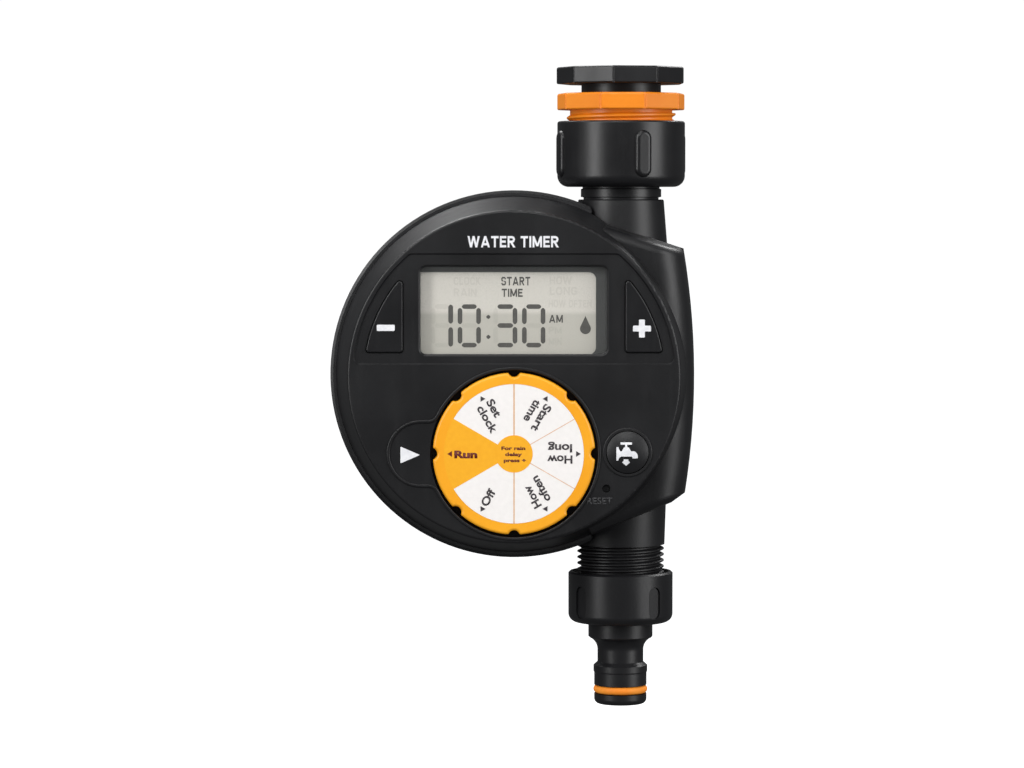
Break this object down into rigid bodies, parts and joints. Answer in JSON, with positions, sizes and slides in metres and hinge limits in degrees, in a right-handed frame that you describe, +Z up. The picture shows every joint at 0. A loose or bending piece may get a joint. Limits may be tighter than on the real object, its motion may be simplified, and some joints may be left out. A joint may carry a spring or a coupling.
{
  "type": "hose tap timer",
  "caption": "Round battery water timer with a programme dial, display and press keys on a vertical in-line solenoid valve with a swivel tap nut, thread reducers and a hose nipple",
  "frame": {"origin": "On the water axis, at the mouth of the inlet thread", "axes": "+Z up along the water axis, out of the inlet; -Y out of the face towards the user; +X to the user's right"},
  "size_m": [0.1097, 0.0535, 0.1937],
  "materials": {
    "case_black": "satin moulded black plastic",
    "key_black": "satin moulded black keys",
    "grip_black": "moulded black plastic couplings",
    "coupling_orange": "moulded orange plastic",
    "dial_orange": "glossy yellow-orange plastic",
    "label_print": "printed white film",
    "clear_window": "clear polycarbonate",
    "lcd": "reflective display glass",
    "frame_grey": "dark grey plastic",
    "board_green": "solder-masked circuit board",
    "chip_black": "moulded chip packages",
    "steel": "zinc-plated steel",
    "contact_metal": "nickel-plated steel",
    "copper": "enamelled copper wire",
    "rubber_black": "black rubber",
    "rubber_orange": "orange rubber",
    "cell_wrap": "plain wrapped cells",
    "nylon_white": "natural nylon",
    "lead_red": "insulated lead"
  },
  "bodies": {
    "casing": {"front_case": "case_black", "rear_case": "case_black", "case_gasket": "rubber_black", "case_screws": "steel", "display_window": "clear_window", "lcd_panel": "lcd", "lcd_frame": "frame_grey", "lcd_connectors": "rubber_black", "circuit_board": "board_green", "board_components": "chip_black", "board_screws": "steel", "tact_switches": "chip_black", "button_seals": "rubber_black", "shaft_seal": "rubber_black", "rotary_switch": "chip_black", "battery_tray": "case_black", "battery_cells": "cell_wrap", "battery_plates": "contact_metal", "battery_springs": "contact_metal", "battery_leads": "lead_red", "door_gasket": "rubber_black", "inlet_spigot": "grip_black", "inlet_washer": "rubber_black", "inlet_filter": "nylon_white", "valve_body": "case_black", "diaphragm": "rubber_black", "bonnet": "grip_black", "bonnet_screws": "steel", "guide_tube": "steel", "fixed_core": "steel", "plunger_spring": "steel", "coil_bobbin": "nylon_white", "coil_winding": "copper", "yoke": "steel", "coil_leads": "lead_red"},
    "minus_key": {"minus_button": "key_black"},
    "plus_key": {"plus_button": "key_black"},
    "manual_key": {"manual_button": "key_black"},
    "reset_pin": {"reset_plunger": "key_black"},
    "dial_assembly": {"dial": "dial_orange", "dial_label": "label_print", "dial_shaft": "nylon_white"},
    "door": {"battery_door": "case_black"},
    "valve_core": {"poppet": "nylon_white", "plunger": "steel"},
    "swivel_nut": {"tap_nut": "grip_black"},
    "large_washer": {"large_reducer_washer": "rubber_black"},
    "large_coupling": {"large_reducer": "coupling_orange"},
    "small_washer": {"small_reducer_washer": "rubber_black"},
    "small_coupling": {"small_reducer": "grip_black"},
    "outlet_washer": {"connector_washer": "rubber_black"},
    "outlet_connector": {"hose_connector": "grip_black", "connector_oring": "rubber_orange"}
  },
  "joints": [
    {"name": "tap_nut_spin", "type": "hinge", "parent": "casing", "child": "swivel_nut", "pos_m": [0, 0, -0.026], "axis": [0, 0, 1], "continuous": true},
    {"name": "large_reducer_lift", "type": "slide", "parent": "swivel_nut", "child": "large_washer", "axis": [0, 0, 1], "range_m": [-0.00319, 0.00749]},
    {"name": "large_reducer_turn", "type": "hinge", "parent": "large_washer", "child": "large_coupling", "pos_m": [0, 0, -0.015], "axis": [0, 0, 1], "range_deg": [-498, 1168]},
    {"name": "small_reducer_lift", "type": "slide", "parent": "large_coupling", "child": "small_washer", "axis": [0, 0, 1], "range_m": [-0.00199, 0.00878]},
    {"name": "small_reducer_turn", "type": "hinge", "parent": "small_washer", "child": "small_coupling", "pos_m": [0, 0, -0.008], "axis": [0, 0, 1], "range_deg": [-396, 1744]},
    {"name": "connector_drop", "type": "slide", "parent": "casing", "child": "outlet_washer", "axis": [0, 0, -1], "range_m": [0, 0.00898]},
    {"name": "connector_turn", "type": "hinge", "parent": "outlet_washer", "child": "outlet_connector", "pos_m": [0, 0, -0.16], "axis": [0, 0, -1], "range_deg": [0, 1784]},
    {"name": "dial_turn", "type": "hinge", "parent": "casing", "child": "dial_assembly", "pos_m": [-0.0325, -0.028, -0.11535], "axis": [0, -1, 0], "continuous": true},
    {"name": "minus_press", "type": "slide", "parent": "casing", "child": "minus_key", "axis": [0, 1, 0], "range_m": [0, 0.0009], "stiffness_N_per_m": 400},
    {"name": "plus_press", "type": "slide", "parent": "casing", "child": "plus_key", "axis": [0, 1, 0], "range_m": [0, 0.0009], "stiffness_N_per_m": 400},
    {"name": "manual_press", "type": "slide", "parent": "casing", "child": "manual_key", "axis": [0, 1, 0], "range_m": [0, 0.0009], "stiffness_N_per_m": 400},
    {"name": "reset_press", "type": "slide", "parent": "casing", "child": "reset_pin", "axis": [0, 1, 0], "range_m": [0, 0.0004], "stiffness_N_per_m": 400},
    {"name": "valve_lift", "type": "slide", "parent": "casing", "child": "valve_core", "axis": [-1, 0, 0], "range_m": [0, 0.0015], "stiffness_N_per_m": 300, "deforming": ["diaphragm", "plunger_spring"]},
    {"name": "door_hinge", "type": "hinge", "parent": "casing", "child": "door", "pos_m": [-0.043, 0.02085, -0.0996], "axis": [-1, 0, 0], "range_deg": [0, 95]}
  ],
  "couplings": [
    {"joint": "large_reducer_turn", "follows": "large_reducer_lift", "rad_per_m": 2721.2},
    {"joint": "small_reducer_turn", "follows": "small_reducer_lift", "rad_per_m": 3463.7},
    {"joint": "connector_turn", "follows": "connector_drop", "rad_per_m": 3463.7}
  ]
}
